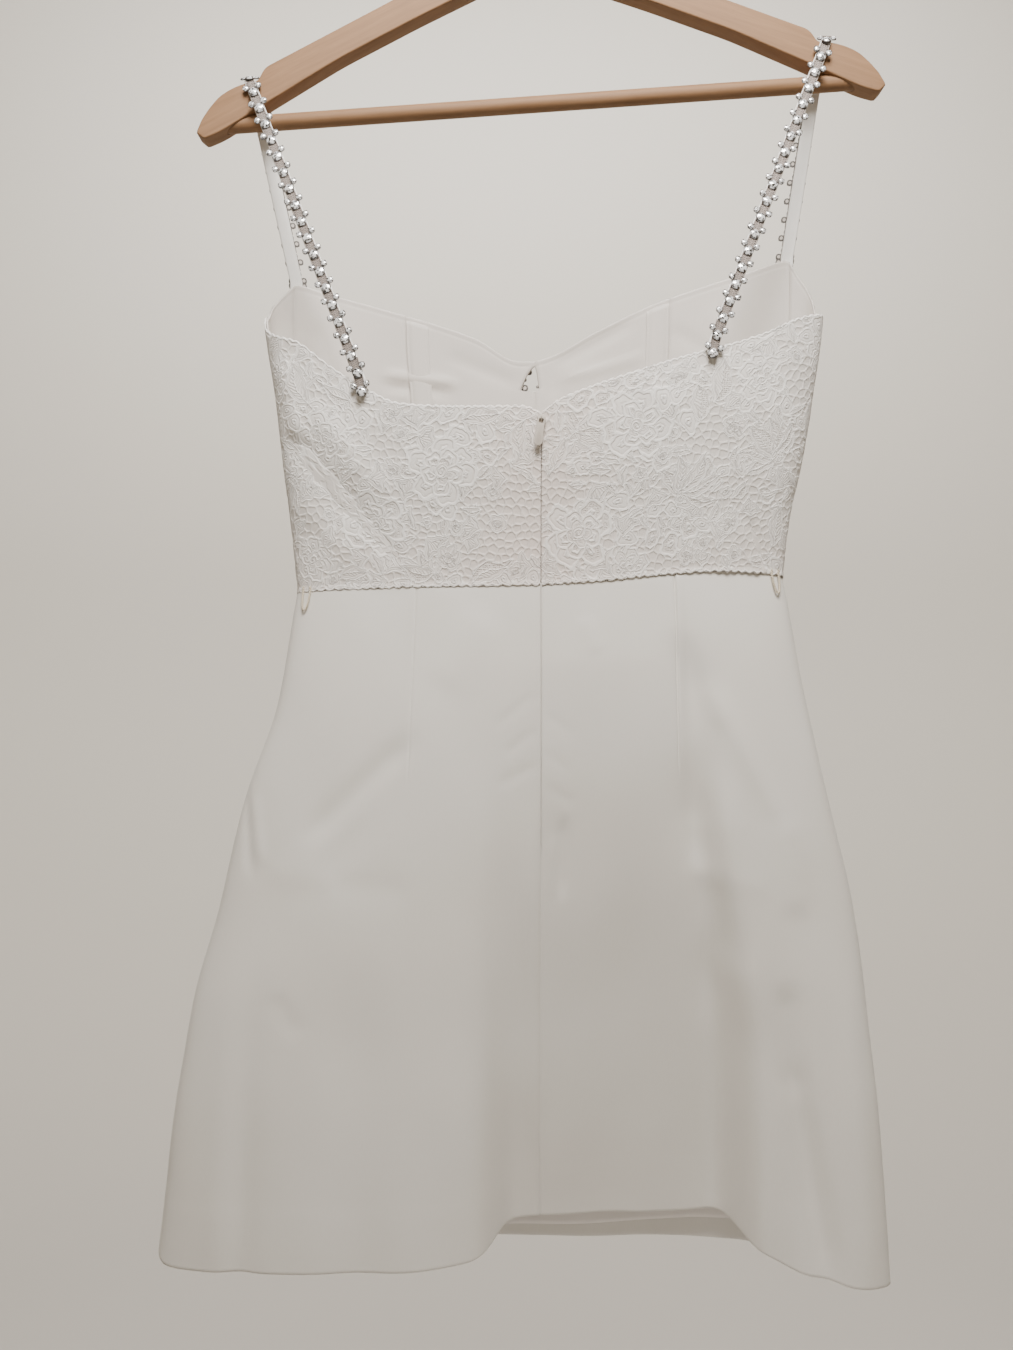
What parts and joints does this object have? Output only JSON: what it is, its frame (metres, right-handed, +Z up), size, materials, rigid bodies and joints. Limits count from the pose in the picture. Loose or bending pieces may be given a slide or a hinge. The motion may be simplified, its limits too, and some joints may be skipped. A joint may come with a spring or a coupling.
{
  "type": "wedding dress on a wooden hanger",
  "caption": "Short A-line bridal dress with a lace bodice, crystal straps and a satin skirt, hung on a wooden hanger with a trouser bar.",
  "frame": {"origin": "the inner top of the hanger's hook, where a rail bears, in the middle of the wire", "axes": "+Z up, along the hanging dress; -Y out of the dress's back, the side that shows; +X to the right as seen from there"},
  "size_m": [0.458, 0.0959, 0.9167],
  "materials": {
    "lace": "ivory corded lace on a backing, matt",
    "satin": "ivory bridal crepe satin, soft low sheen",
    "lining": "ivory lining satin, soft sheen",
    "ribbon": "white satin ribbon",
    "crystal": "clear cut stones with foiled backs, in claw cups",
    "zip_cloth": "woven zip tape",
    "zip_metal": "cream lacquered zip slider and pull",
    "thread": "twisted thread",
    "wood": "pale beech, satin lacquer",
    "steel": "bright plated wire"
  },
  "bodies": {
    "dress": {"belt_loop_left": "thread", "belt_loop_right": "thread", "boning_casing_left": "lining", "boning_casing_right": "lining", "hanger_arms": "wood", "hanger_bar": "wood", "hanger_hook": "steel", "keyhole_crystals": "crystal", "lace_back_left": "lace", "lace_back_right": "lace", "lace_front_left": "lace", "lace_front_right": "lace", "lining_back_left": "lining", "lining_back_right": "lining", "lining_front_centre_left": "lining", "lining_front_centre_right": "lining", "lining_front_side_left": "lining", "lining_front_side_right": "lining", "skirt_back_left": "satin", "skirt_back_right": "satin", "skirt_front": "satin", "skirt_lining_back_left": "lining", "skirt_lining_back_right": "lining", "skirt_lining_front": "lining", "strap_crystals_left": "crystal", "strap_crystals_right": "crystal", "strap_ribbon_left": "ribbon", "strap_ribbon_right": "ribbon", "zip_slider": "zip_metal", "zip_tape": "zip_cloth"},
    "zip_pull": {"zip_pull": "zip_metal"}
  },
  "joints": [
    {"name": "zip_pull_swing", "type": "hinge", "parent": "dress", "child": "zip_pull", "pos_m": [0.011, -0.0375, -0.3765], "axis": [-1, 0, 0], "range_deg": [0, 160]}
  ]
}
